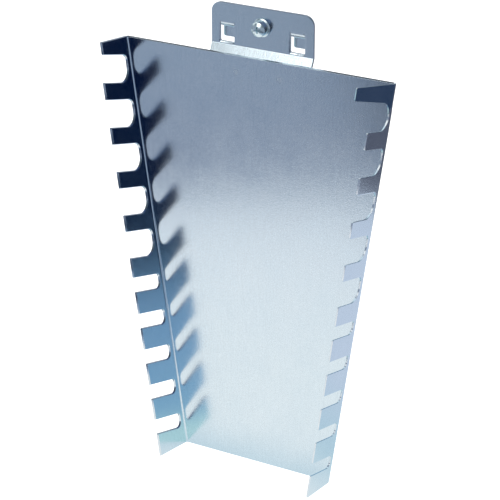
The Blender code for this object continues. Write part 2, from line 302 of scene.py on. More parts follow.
def flange_corners():
    """Corners of one notched flange, from its top tip to its bottom tip, as (w, v, radius, steps)."""
    run = FRONT_W - FLOOR_W
    out = [(FRONT_W, -FRONT_W * ST / CT, CORNER, 4)]
    for first, width, r_up, r_low in NOTCHES:
        up, low = along(first), along(first + width)
        out += [(FRONT_W, up, CORNER, 4), (FLOOR_W, up + RISE * run, r_up, 14)]
        out += [(FLOOR_W, low + RISE * run, r_low, 14), (FRONT_W, low, CORNER, 4)]
    return out + [(FRONT_W, (RACK_H - FRONT_W * ST) / CT, CORNER, 4)]


WELD_RINGS = (0.5, 1.0, 1.4, 1.8, 2.1, 2.4, 2.8, 3.2)


def weld_dent(x, z):
    """Depth of the faint electrode marks over the two welds."""
    r = math.hypot(abs(x) - WELD_X, z - WELD_Z)
    if r > 3.2:
        return 0.0
    ring = math.exp(-(((r - 2.5) / 0.35) ** 2))
    t = min(1, max(0, (2.5 - r) / 1.1))
    return (0.012 * t * t * (3 - 2 * t) - 0.004 * ring) * (1 if r < 2.8 else (3.2 - r) / 0.4)


def rack_shape(x, z):
    side = 1 if x > 0 else -1
    dx = side * x - BASE_X
    w = dx * CT - z * ST
    if w <= 0:
        return (x + RACK_X, RACK_T / 2 + weld_dent(x + RACK_X, z), z)
    v = -dx * ST - z * CT
    t = min(1, max(0, (LEAN_NONE - v) / (LEAN_NONE - LEAN_ALL)))
    t = t * t * (3 - 2 * t)
    total = math.pi / 2 + math.radians(TOP_TOOTH_LEAN[side]) * t
    v += TOP_TOOTH_DROOP[side] * t * max(0, w - BEND_L)
    r = BEND_L / total
    phi = total * min(w, BEND_L) / BEND_L
    a, y = r * math.sin(phi), RACK_T / 2 - r + r * math.cos(phi)
    if w > BEND_L:
        a += math.cos(total) * (w - BEND_L)
        y -= math.sin(total) * (w - BEND_L)
    fx, fz = to_flat(side, a, v)
    return (fx + RACK_X, y, fz)


def rack_sheet(materials):
    corners = [(*to_flat(1, w, v), r, n) for w, v, r, n in flange_corners()]
    corners += [(*to_flat(-1, w, v), r, n) for w, v, r, n in reversed(flange_corners())]
    creases = []
    low = RACK_H / CT
    for side in (-1, 1):
        folds = [-1.2, -0.4] + [BEND_L * i / 10 for i in range(11)] + [BEND_L + 0.25]
        for w in folds:
            creases.append((to_flat(side, w, -w * ST / CT - 2), to_flat(side, w, low - w * ST / CT + 2)))
        steps = 16
        for i in range(steps + 1):
            v = LEAN_ALL - 0.5 + (LEAN_NONE - LEAN_ALL + 0.5) * i / steps
            creases.append((to_flat(side, -0.4, v), to_flat(side, BEND_L + 9, v)))
        for r in WELD_RINGS:
            ring = circle(side * WELD_X - RACK_X, WELD_Z, r, 32)
            creases += list(zip(ring, ring[1:] + ring[:1]))
    return sheet("rack_sheet", rounded(corners), [], creases, rack_shape, RACK_T, materials, [leaning_cut])


# ---- hook plate ----
HOOK_MID_Y = HOOK_FRONT_Y + HOOK_T / 2
FOOT_MID_Y = RACK_T + SHEET_GAP + HOOK_T / 2
STEP_A = math.radians(STEP_ANGLE)
STEP_M = STEP_BEND_R + HOOK_T / 2
STEP_STRAIGHT = (HOOK_MID_Y - FOOT_MID_Y - 2 * STEP_M * (1 - math.cos(STEP_A))) / math.sin(STEP_A)
STEP_ARC = STEP_M * STEP_A
STEP_LINES = [STEP_TOP, STEP_TOP - STEP_ARC, STEP_TOP - STEP_ARC - STEP_STRAIGHT, STEP_TOP - 2 * STEP_ARC - STEP_STRAIGHT]
STEP_DROP = 2 * STEP_M * math.sin(STEP_A) + STEP_STRAIGHT * math.cos(STEP_A)
FOOT_SHIFT = (STEP_TOP - STEP_DROP) - STEP_LINES[3]
TOP_M, LIP_M = TAB_TOP_R + HOOK_T / 2, TAB_LIP_R + HOOK_T / 2
TOP_ARC, LIP_ARC = TOP_M * math.pi / 2, LIP_M * math.pi / 2
TAB_L = TOP_ARC + LIP_ARC + TAB_LIP
TAB_HALF = WINDOW_W / 2 - TAB_SLIT
TAB_BLANK = WINDOW_TOP - WINDOW_BOTTOM - TAB_SLIT
STRETCH = TAB_L / TAB_BLANK


def tab_shape(q):
    y, z = HOOK_MID_Y, WINDOW_TOP
    if q <= TOP_ARC:
        f = q / TOP_M
        return y + TOP_M * (1 - math.cos(f)), z - TOP_M * math.sin(f)
    y, z, q = y + TOP_M, z - TOP_M, q - TOP_ARC
    if q <= LIP_ARC:
        f = q / LIP_M
        return y + LIP_M * math.sin(f), z - LIP_M * (1 - math.cos(f))
    return y + LIP_M, z - LIP_M - (q - LIP_ARC)


def hook_shape(x, z):
    if z < WINDOW_TOP and z > WINDOW_TOP - TAB_BLANK - 0.05 and abs(abs(x) - HOOK_PITCH / 2) < TAB_HALF + 0.05:
        y, h = tab_shape((WINDOW_TOP - z) * STRETCH)
        return (x, y, h)
    if z >= STEP_LINES[0]:
        return (x, HOOK_MID_Y, z)
    if z >= STEP_LINES[1]:
        f = (STEP_LINES[0] - z) / STEP_M
        return (x, HOOK_MID_Y - STEP_M * (1 - math.cos(f)), STEP_TOP - STEP_M * math.sin(f))
    if z >= STEP_LINES[2]:
        s = STEP_LINES[1] - z
        y = HOOK_MID_Y - STEP_M * (1 - math.cos(STEP_A)) - s * math.sin(STEP_A)
        return (x, y, STEP_TOP - STEP_M * math.sin(STEP_A) - s * math.cos(STEP_A))
    if z >= STEP_LINES[3]:
        f = STEP_A - (STEP_LINES[2] - z) / STEP_M
        return (x, FOOT_MID_Y + STEP_M * (1 - math.cos(f)), STEP_TOP - STEP_DROP + STEP_M * math.sin(f))
    return (x, FOOT_MID_Y, z + FOOT_SHIFT)


def hook_sheet(materials):
    h, foot = HOOK_W / 2, HOOK_BOTTOM - FOOT_SHIFT
    outline = rounded([(-h, foot, HOOK_FOOT_R, 10), (h, foot, HOOK_FOOT_R, 10), (h, HOOK_TOP, HOOK_CORNER_R, 16), (-h, HOOK_TOP, HOOK_CORNER_R, 16)])
    holes = [circle(0, SCREW_Z, SCREW_HOLE_R, 48)]
    cuts = [square_cut, square_cut]
    creases = []
    for side in (-1, 1):
        c = side * HOOK_PITCH / 2
        t, w = TAB_HALF, WINDOW_W / 2
        tip = WINDOW_TOP - TAB_BLANK
        holes.append(
            [(c - w, WINDOW_TOP)]
            + fillet((c - w, WINDOW_TOP), (c - w, WINDOW_BOTTOM), (c + w, WINDOW_BOTTOM), 0.5, 6)
            + fillet((c - w, WINDOW_BOTTOM), (c + w, WINDOW_BOTTOM), (c + w, WINDOW_TOP), 0.5, 6)
            + [(c + w, WINDOW_TOP), (c + t, WINDOW_TOP)]
            + fillet((c + t, WINDOW_TOP), (c + t, tip), (c - t, tip), 0.9, 8)
            + fillet((c + t, tip), (c - t, tip), (c - t, WINDOW_TOP), 0.9, 8)
            + [(c - t, WINDOW_TOP)]
        )
        holes.append(circle(side * WELD_X, WELD_Z - FOOT_SHIFT, WELD_R + WELD_CLEAR, 40))
        cuts += [rolled_cut, square_cut]
        bends = [-1.05, 0.02] + [TOP_ARC * i / 10 for i in range(1, 11)]
        bends += [TOP_ARC + LIP_ARC * i / 8 for i in range(1, 9)] + [TOP_ARC + LIP_ARC + 0.3]
        creases += [((c - t - 0.6 * (q < 0), WINDOW_TOP - q / STRETCH), (c + t + 0.6 * (q < 0), WINDOW_TOP - q / STRETCH)) for q in bends]
    for a, b, up, low in ((STEP_LINES[0], STEP_LINES[1], 0.3, 0.15), (STEP_LINES[2], STEP_LINES[3], 0.15, 0.4)):
        lines = [a + up] + [a + (b - a) * i / 8 for i in range(9)] + [b - low]
        creases += [((-h - 1, z), (h + 1, z)) for z in lines]
    return sheet("hook_sheet", outline, holes, creases, hook_shape, HOOK_T, materials, cuts)


# ---------------------------------------------------------------- turned pieces
def turned(name, profile, x0, z0, n, materials, sharp=38, radius=None):
    """Revolve (y, radius) points about an axis along Y through (x0, z0). radius(y, r, angle) may vary round the axis."""
    bm = bmesh.new()
    rings = []
    for y, r in profile:
        if r == 0:
            rings.append([bm.verts.new(place((x0, y, z0)))])
            continue
        ring = []
        for i in range(n):
            a = 2 * math.pi * i / n
            rr = radius(y, r, a) if radius else r
            ring.append(bm.verts.new(place((x0 + rr * math.cos(a), y, z0 + rr * math.sin(a)))))
        rings.append(ring)
    pairs = list(zip(rings, rings[1:]))
    if len(rings[0]) > 1 and len(rings[-1]) > 1:
        pairs.append((rings[-1], rings[0]))
    for a, b in pairs:
        for i in range(n):
            j = (i + 1) % n
            if len(a) > 1 and len(b) > 1:
                bm.faces.new([a[i], a[j], b[j], b[i]])
            elif len(a) == 1:
                bm.faces.new([a[0], b[j], b[i]])
            else:
                bm.faces.new([a[i], a[j], b[0]])
    return finish_piece(name, bm, materials, sharp)


def arc(y, r, radius, start, end, steps):
    """Profile points of an arc round (y, r); angle 0 points outwards, 90 towards -y."""
    out = []
    for i in range(steps + 1):
        f = math.radians(start + (end - start) * i / steps)
        out.append((y - radius * math.sin(f), r + radius * math.cos(f)))
    return out


def washer(materials):
    back = HOOK_FRONT_Y - SEAT_GAP
    front = back - WASHER_T
    rim = front + WASHER_SLOPE
    profile = [(back, WASHER_HOLE_R + 0.05), (back, WASHER_R - 0.06), (back - 0.06, WASHER_R), (rim + 0.08, WASHER_R), (rim + 0.02, WASHER_R - 0.02)]
    profile += [(rim - 0.03, WASHER_R - 0.1), (front + 0.03, HEAD_R + 0.12), (front, HEAD_R - 0.05), (front, WASHER_HOLE_R + 0.1), (front + 0.1, WASHER_HOLE_R)]
    profile += [(back - 0.05, WASHER_HOLE_R)]
    return turned("washer_ring", profile, 0, SCREW_Z, 96, materials)


def screw(materials):
    under = HOOK_FRONT_Y - 2 * SEAT_GAP - WASHER_T
    top = under - HEAD_H
    tip = under + SHANK_L
    n = 96
    profile = [(top, 0)]
    edge = HEAD_R - 0.18
    for i in range(1, 17):
        r = edge * i / 16
        profile.append((top + DOME_R - math.sqrt(DOME_R**2 - r**2), r))
    low = top + DOME_R - math.sqrt(DOME_R**2 - edge**2)
    profile += [(low + 0.05, HEAD_R - 0.1), (low + 0.14, HEAD_R - 0.03), (low + 0.26, HEAD_R)]
    profile += [(under - 0.12, HEAD_R), (under, HEAD_R - 0.12), (under, SHANK_R + 0.1)]
    y = under + 0.1
    while y < tip - 0.3:
        profile.append((y, SHANK_R))
        y += 0.0583
    profile += [(tip - 0.28, SHANK_R - 0.16), (tip, SHANK_R - 0.6), (tip, 0.8), (tip, 0)]

    def threaded(y, r, a):
        if y < under + 0.05 or y > tip - 0.27:
            return r
        depth = min(1, max(0, (y - under - 0.5) / 0.5))
        f = (y / THREAD_PITCH + a / (2 * math.pi)) % 1
        shape = min(1, max(0, (abs(f - 0.5) * 2 - 0.1) / 0.75))
        cut = THREAD_DEPTH * (1 - shape) * depth
        if y > tip - 0.5:
            cut = max(cut, 0.16 * (y - tip + 0.5) / 0.22)
        return r - cut

    body = turned("screw_body", profile, 0, SCREW_Z, n, materials, 38, threaded)
    # cross recess with flared mouths, cut by two tapering wedges
    for turn in (0, 1):
        bm = bmesh.new()
        rings = []
        for y, half_l, half_w in (
            (top - 0.3, RECESS_L / 2 + 0.12, RECESS_W / 2 + 0.06),
            (top + 0.12, RECESS_L / 2 - 0.08, RECESS_W / 2),
            (top + RECESS_DEPTH - 0.25, RECESS_L / 2 - 0.95, RECESS_W / 2 - 0.1),
            (top + RECESS_DEPTH, 0.5, RECESS_W / 2 - 0.2),
        ):
            ring = []
            for sx, sz in ((-1, -1), (1, -1), (1, 1), (-1, 1)):
                px, pz = (sx * half_l, sz * half_w) if turn == 0 else (-sz * half_w, sx * half_l)
                ring.append(bm.verts.new(place((px, y, SCREW_Z + pz))))
            rings.append(ring)
        bm.faces.new(rings[0])
        bm.faces.new(rings[-1][::-1])
        for hi, lo in zip(rings, rings[1:]):
            for i in range(4):
                j = (i + 1) % 4
                bm.faces.new([hi[j], hi[i], lo[i], lo[j]])
        bmesh.ops.recalc_face_normals(bm, faces=bm.faces)
        mesh = bpy.data.meshes.new("recess")
        bm.to_mesh(mesh)
        bm.free()
        cutter = bpy.data.objects.new("recess", mesh)
        bpy.context.scene.collection.objects.link(cutter)
        cut = body.modifiers.new("recess", "BOOLEAN")
        cut.operation, cut.solver, cut.object = "DIFFERENCE", "EXACT", cutter
        bpy.context.view_layer.update()
        done = bpy.data.meshes.new_from_object(body.evaluated_get(bpy.context.evaluated_depsgraph_get()))
        body.modifiers.clear()
        body.data = done
        bpy.data.objects.remove(cutter, do_unlink=True)
    body.data.name = "screw_body"
    body.data.polygons.foreach_set("use_smooth", [True] * len(body.data.polygons))
    body.data.set_sharp_from_angle(angle=math.radians(38))
    return body


def weld(side, materials):
    front, back = RACK_T + 2 * SHEET_GAP, RACK_T + SHEET_GAP + HOOK_T
    profile = [(front, 0), (front, WELD_R - 0.05), (front + 0.05, WELD_R), (back - 0.12, WELD_R)]
    profile += [(back - 0.06, WELD_R - 0.02), (back - 0.05, WELD_R - 0.12), (back - 0.07, WELD_R - 0.25)]
    for i in range(1, 9):
        t = i / 9
        profile.append((back - 0.07 - 0.2 * (t * t * (3 - 2 * t)), (WELD_R - 0.25) * (1 - t)))
    profile.append((back - 0.27, 0))
    return turned("weld_left" if side < 0 else "weld_right", profile, side * WELD_X, WELD_Z, 64, materials)


# ---------------------------------------------------------------- materials
def node(tree, kind, props=None, **sockets):
    n = tree.nodes.new(kind)
    for k, v in (props or {}).items():
        setattr(n, k, v)
    for k, v in sockets.items():
        s = n.inputs[int(k[1:])] if k[0] == "i" and k[1:].isdigit() else n.inputs[k.replace("_", " ")]
        if isinstance(v, bpy.types.NodeSocket):
            tree.links.new(v, s)
        else:
            s.default_value = v
    return n


def blank(name):
    m = bpy.data.materials.new(name)
    m.use_nodes = True
    t = m.node_tree
    t.nodes.clear()
    out = t.nodes.new("ShaderNodeOutputMaterial")
    shader = t.nodes.new("ShaderNodeBsdfPrincipled")
    t.links.new(shader.outputs["BSDF"], out.inputs["Surface"])
    shader.inputs["Metallic"].default_value = 1.0
    return m, t, shader


def math_node(t, op, a, b=0.0, c=0.0):
    return node(t, "ShaderNodeMath", {"operation": op}, i0=a, i1=b, i2=c).outputs[0]


def span(t, value, a, b, c, d, smooth=False):
    """value mapped from a..b to c..d, clamped."""
    n = node(t, "ShaderNodeMapRange", {"interpolation_type": "SMOOTHSTEP" if smooth else "LINEAR"})
    t.links.new(value, n.inputs["Value"])
    for k, v in (("From Min", a), ("From Max", b), ("To Min", c), ("To Max", d)):
        n.inputs[k].default_value = v
    return n.outputs["Result"]


def mix(t, f, a, b, blend="MIX"):
    n = t.nodes.new("ShaderNodeMix")
    n.data_type, n.blend_type = "RGBA", blend
    for s, v in ((n.inputs[0], f), (n.inputs[6], a), (n.inputs[7], b)):
        if isinstance(v, bpy.types.NodeSocket):
            t.links.new(v, s)
        elif isinstance(v, tuple):
            s.default_value = (*v, 1)
        else:
            s.default_value = v
    return n.outputs[2]


def noise(t, vector, scale, detail=2.0, rough=0.5, distort=0.0):
    n = node(t, "ShaderNodeTexNoise", {"noise_dimensions": "3D"}, Vector=vector)
    for k, v in (("Scale", scale), ("Detail", detail), ("Roughness", rough), ("Distortion", distort)):
        n.inputs[k].default_value = v
    return n.outputs["Fac"]


def scaled(t, vector, s, turn=(0, 0, 0)):
    n = node(t, "ShaderNodeMapping", Vector=vector)
    n.inputs["Scale"].default_value = s
    n.inputs["Rotation"].default_value = turn
    return n.outputs["Vector"]


def scratches(t, p, scale, turn, keep):
    """Sparse hairlines: the thin crossings of a long stretched noise, shown only in patches."""
    line = noise(t, scaled(t, p, scale, turn), 1.0, 1.0, 0.4)
    thin = span(t, math_node(t, "ABSOLUTE", math_node(t, "SUBTRACT", line, 0.5)), 0.0, 0.006, 1.0, 0.0)
    patch = span(t, noise(t, p, 45.0, 1.0), keep, keep + 0.08, 0.0, 1.0)
    return math_node(t, "MULTIPLY", thin, patch)


def zinc_sheet(name, light, dark, rough, weld_marks=False):
    """Bright zinc over cold-rolled sheet: cloudy tone, fine even grain, a trace of rolling streaks and a few hairlines."""
    m, t, s = blank(name)
    p = node(t, "ShaderNodeTexCoord").outputs["Object"]
    cloud = noise(t, p, 70.0, 4.0, 0.55)
    fine = noise(t, p, 520.0, 3.0, 0.6)
    grain = noise(t, p, 1900.0, 2.0, 0.55)
    streak = noise(t, scaled(t, p, (2600.0, 2600.0, 90.0)), 1.0, 2.0, 0.5)
    hair = math_node(t, "MAXIMUM", scratches(t, p, (900.0, 900.0, 26.0), (0, 0.35, 0), 0.60), scratches(t, p, (30.0, 700.0, 900.0), (0, -0.5, 0.2), 0.63))
    tone = math_node(t, "ADD", math_node(t, "MULTIPLY", cloud, 0.55), math_node(t, "MULTIPLY", fine, 0.45))
    colour = mix(t, span(t, tone, 0.35, 0.65, 0.0, 1.0), dark, light)
    shade = span(t, math_node(t, "ADD", grain, math_node(t, "MULTIPLY", streak, 0.3)), 0.4, 0.9, 0.915, 1.065)
    colour = mix(t, 1.0, colour, node(t, "ShaderNodeCombineXYZ", None, X=shade, Y=shade, Z=shade).outputs[0], "MULTIPLY")
    r = math_node(t, "ADD", span(t, cloud, 0.3, 0.7, rough - 0.02, rough + 0.02), span(t, fine, 0.3, 0.7, -0.015, 0.015))
    r = math_node(t, "ADD", r, math_node(t, "MULTIPLY", hair, 0.05))
    height = math_node(t, "ADD", math_node(t, "MULTIPLY", grain, 0.9), math_node(t, "MULTIPLY", streak, 0.1))
    height = math_node(t, "ADD", height, math_node(t, "MULTIPLY", fine, 0.8))
    height = math_node(t, "SUBTRACT", height, math_node(t, "MULTIPLY", hair, 0.2))
    if weld_marks:
        for side in (-1, 1):
            c = place((side * WELD_X, 0, WELD_Z))
            off = node(t, "ShaderNodeVectorMath", {"operation": "MULTIPLY"}, i0=node(t, "ShaderNodeVectorMath", {"operation": "SUBTRACT"}, i0=p, i1=c).outputs[0], i1=(1, 0, 1))
            d = node(t, "ShaderNodeVectorMath", {"operation": "LENGTH"}, i0=off.outputs[0]).outputs["Value"]
            d = math_node(t, "ADD", d, span(t, fine, 0.3, 0.7, -0.0004, 0.0004))
            spot = span(t, d, 0.0005, 0.0026, 1.0, 0.0, True)
            r = math_node(t, "ADD", r, math_node(t, "MULTIPLY", spot, 0.11))
    bump = node(t, "ShaderNodeBump", None, Height=height)
    bump.inputs["Strength"].default_value = 1.0
    bump.inputs["Distance"].default_value = 0.000018
    t.links.new(colour, s.inputs["Base Color"])
    t.links.new(r, s.inputs["Roughness"])
    t.links.new(bump.outputs["Normal"], s.inputs["Normal"])
    return m


def sheared_edge(name, light, dark):
    """Smooth band of a punched edge: bright, with fine drag lines across the thickness."""
    m, t, s = blank(name)
    p = node(t, "ShaderNodeTexCoord").outputs["Object"]
    drag = noise(t, p, 3200.0, 3.0, 0.6)
    band = noise(t, p, 420.0, 3.0, 0.6)
    colour = mix(t, span(t, math_node(t, "ADD", drag, band), 0.75, 1.25, 0.0, 1.0), dark, light)
    r = math_node(t, "ADD", span(t, band, 0.3, 0.7, 0.13, 0.20), span(t, drag, 0.3, 0.7, -0.03, 0.04))
    bump = node(t, "ShaderNodeBump", None, Height=math_node(t, "ADD", drag, math_node(t, "MULTIPLY", band, 0.6)))
    bump.inputs["Strength"].default_value = 0.5
    bump.inputs["Distance"].default_value = 0.00002
    t.links.new(colour, s.inputs["Base Color"])
    t.links.new(r, s.inputs["Roughness"])
    t.links.new(bump.outputs["Normal"], s.inputs["Normal"])
    return m


def torn_edge(name, light, dark, metallic):
    """Torn band of a punched edge: dull and granular under thin plating."""
    m, t, s = blank(name)
    s.inputs["Metallic"].default_value = metallic
    p = node(t, "ShaderNodeTexCoord").outputs["Object"]
    crumb = noise(t, p, 4200.0, 3.0, 0.7)
    patch = noise(t, p, 600.0, 2.0, 0.6)
    colour = mix(t, span(t, math_node(t, "ADD", crumb, patch), 0.75, 1.25, 0.0, 1.0), dark, light)
    bump = node(t, "ShaderNodeBump", None, Height=crumb)
    bump.inputs["Strength"].default_value = 0.8
    bump.inputs["Distance"].default_value = 0.00005
    t.links.new(colour, s.inputs["Base Color"])
    t.links.new(span(t, crumb, 0.3, 0.7, 0.42, 0.58), s.inputs["Roughness"])
    t.links.new(bump.outputs["Normal"], s.inputs["Normal"])
    return m


def turned_zinc(name, light, dark, rough, metallic):
    """Bright plated fastener: faint turning rings about its axis, fine grain and dulled patches."""
    m, t, s = blank(name)
    p = node(t, "ShaderNodeTexCoord").outputs["Object"]
    c = place((0, 0, SCREW_Z))
    off = node(t, "ShaderNodeVectorMath", {"operation": "MULTIPLY"}, i0=node(t, "ShaderNodeVectorMath", {"operation": "SUBTRACT"}, i0=p, i1=c).outputs[0], i1=(1, 0, 1))
    d = node(t, "ShaderNodeVectorMath", {"operation": "LENGTH"}, i0=off.outputs[0]).outputs["Value"]
    rings = math_node(t, "SINE", math_node(t, "MULTIPLY", d, 42000.0))
    cloud = noise(t, p, 500.0, 3.0, 0.6)
    grain = noise(t, p, 3500.0, 2.0, 0.6)
    colour = mix(t, span(t, math_node(t, "ADD", cloud, math_node(t, "MULTIPLY", grain, 0.5)), 0.5, 1.0, 0.0, 1.0), dark, light)
    r = math_node(t, "ADD", span(t, cloud, 0.3, 0.7, rough - 0.04, rough + 0.06), span(t, grain, 0.3, 0.7, -0.02, 0.03))
    bump = node(t, "ShaderNodeBump", None, Height=math_node(t, "ADD", math_node(t, "MULTIPLY", rings, 0.12), math_node(t, "ADD", grain, cloud)))
    bump.inputs["Strength"].default_value = 0.4
    bump.inputs["Distance"].default_value = 0.00001
    t.links.new(colour, s.inputs["Base Color"])
    t.links.new(r, s.inputs["Roughness"])
    t.links.new(bump.outputs["Normal"], s.inputs["Normal"])
    s.inputs["Metallic"].default_value = metallic
    return m


def weld_metal(name):
    """Spot weld under plating: dull centre, straw and blue heat rings, rough crust."""
    m, t, s = blank(name)
    p = node(t, "ShaderNodeTexCoord").outputs["Object"]
    fine = noise(t, p, 1500.0, 4.0, 0.65)
    away = None
    for side in (-1, 1):
        c = place((side * WELD_X, 0, WELD_Z))
        off = node(t, "ShaderNodeVectorMath", {"operation": "MULTIPLY"}, i0=node(t, "ShaderNodeVectorMath", {"operation": "SUBTRACT"}, i0=p, i1=c).outputs[0], i1=(1, 0, 1))
        d = node(t, "ShaderNodeVectorMath", {"operation": "LENGTH"}, i0=off.outputs[0]).outputs["Value"]
        away = d if away is None else math_node(t, "MINIMUM", away, d)
    away = math_node(t, "ADD", away, span(t, fine, 0.3, 0.7, -0.0002, 0.0002))
    ramp = node(t, "ShaderNodeValToRGB", None, Fac=span(t, away, 0.0, 0.0025, 0.0, 1.0))
    stops = [(0.0, (0.50, 0.50, 0.51)), (0.45, (0.56, 0.54, 0.50)), (0.68, (0.52, 0.46, 0.38)), (0.84, (0.40, 0.42, 0.50)), (1.0, (0.62, 0.65, 0.68))]
    for i, (at, c) in enumerate(stops):
        e = ramp.color_ramp.elements[i] if i < 2 else ramp.color_ramp.elements.new(at)
        e.position, e.color = at, (*c, 1)
    colour = mix(t, span(t, fine, 0.3, 0.7, 0.0, 0.3), ramp.outputs["Color"], (0.34, 0.34, 0.35))
    bump = node(t, "ShaderNodeBump", None, Height=fine)
    bump.inputs["Strength"].default_value = 0.6
    bump.inputs["Distance"].default_value = 0.00005
    t.links.new(colour, s.inputs["Base Color"])
    t.links.new(span(t, fine, 0.3, 0.7, 0.38, 0.55), s.inputs["Roughness"])
    t.links.new(bump.outputs["Normal"], s.inputs["Normal"])
    return m


# ---------------------------------------------------------------- the object
RACK_ZINC = zinc_sheet("rack_zinc_sheet", (0.75, 0.84, 0.89), (0.70, 0.80, 0.86), 0.18, True)
RACK_EDGE = sheared_edge("rack_zinc_sheared_edge", (0.82, 0.87, 0.90), (0.68, 0.74, 0.79))
RACK_TORN = torn_edge("rack_zinc_torn_edge", (0.62, 0.67, 0.71), (0.46, 0.50, 0.54), 1.0)
HOOK_ZINC = zinc_sheet("hook_zinc_sheet", (0.75, 0.84, 0.88), (0.70, 0.80, 0.85), 0.18)
HOOK_EDGE = sheared_edge("hook_zinc_sheared_edge", (0.82, 0.86, 0.88), (0.66, 0.71, 0.75))
HOOK_TORN = torn_edge("hook_zinc_torn_edge", (0.46, 0.53, 0.62), (0.36, 0.42, 0.51), 0.15)
SCREW_ZINC = turned_zinc("screw_zinc_bright", (0.80, 0.91, 0.93), (0.68, 0.81, 0.84), 0.18, 0.93)
WASHER_ZINC = turned_zinc("washer_zinc_bright", (0.78, 0.89, 0.91), (0.66, 0.79, 0.83), 0.22, 0.9)
WELD_STEEL = weld_metal("weld_steel_crust")

for piece, nodes_, body, slot in (
    (rack_sheet([RACK_ZINC, RACK_EDGE, RACK_TORN]), "rack_channel", "rack", "rack_zinc"),
    (hook_sheet([HOOK_ZINC, HOOK_EDGE, HOOK_TORN]), "hook_plate", "rack", "hook_zinc"),
    (screw([SCREW_ZINC]), "lock_screw", "screw", "screw_zinc"),
    (washer([WASHER_ZINC]), "lock_washer", "washer", "washer_zinc"),
    (weld(-1, [WELD_STEEL]), "spot_weld_left", "rack", "weld_steel"),
    (weld(1, [WELD_STEEL]), "spot_weld_right", "rack", "weld_steel"),
):
    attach(piece, body)
    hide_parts(nodes_)


# ---------------------------------------------------------------- floor, light, camera
TABLE = (-0.90, 0.24, -0.90, 0.269)


def ramp(t, value, lo, hi, stops, ease="LINEAR"):
    """Colours at given values between lo and hi."""
    n = node(t, "ShaderNodeValToRGB", None, Fac=span(t, value, lo, hi, 0.0, 1.0))
    n.color_ramp.interpolation = ease
    for i, (at, c) in enumerate(stops):
        pos = (at - lo) / (hi - lo)
        e = n.color_ramp.elements[i] if i < 2 else n.color_ramp.elements.new(pos)
        e.position, e.color = pos, (*c, 1)
    return n.outputs["Color"]


def between(t, value, lo, hi, soft_lo, soft_hi):
    """1 between lo and hi, falling to 0 over the soft margins centred on them."""
    up = span(t, value, lo - soft_lo / 2, lo + soft_lo / 2, 0.0, 1.0, True)
    down = span(t, value, hi - soft_hi / 2, hi + soft_hi / 2, 1.0, 0.0, True)
    return math_node(t, "MULTIPLY", up, down)


def later_bounce(t, first):
    """1 for light that leaves the metal after two or more reflections; first is the depth of a single one."""
    return math_node(t, "GREATER_THAN", node(t, "ShaderNodeLightPath").outputs["Ray Depth"], first + 0.5)


def floor():
    bm = bmesh.new()
    ring = [bm.verts.new((8 * math.cos(2 * math.pi * i / 64), 8 * math.sin(2 * math.pi * i / 64), -0.36)) for i in range(64)]
    bm.faces.new(ring)
    mesh = bpy.data.meshes.new("floor")
    bm.to_mesh(mesh)
    bm.free()
    m, t, s = blank("floor_pale")
    s.inputs["Metallic"].default_value = 0.0
    s.inputs["Roughness"].default_value = 0.9
    p = node(t, "ShaderNodeTexCoord").outputs["Object"]
    t.links.new(mix(t, noise(t, p, 3.0, 2.0), (0.93, 0.93, 0.93), (0.95, 0.95, 0.95)), s.inputs["Base Color"])
    s.inputs["Emission Color"].default_value = (1, 1, 1, 1)
    s.inputs["Emission Strength"].default_value = 0.45
    mesh.materials.append(m)
    ob = bpy.data.objects.new("floor", mesh)
    bpy.context.scene.collection.objects.link(ob)
    ob.visible_glossy = False


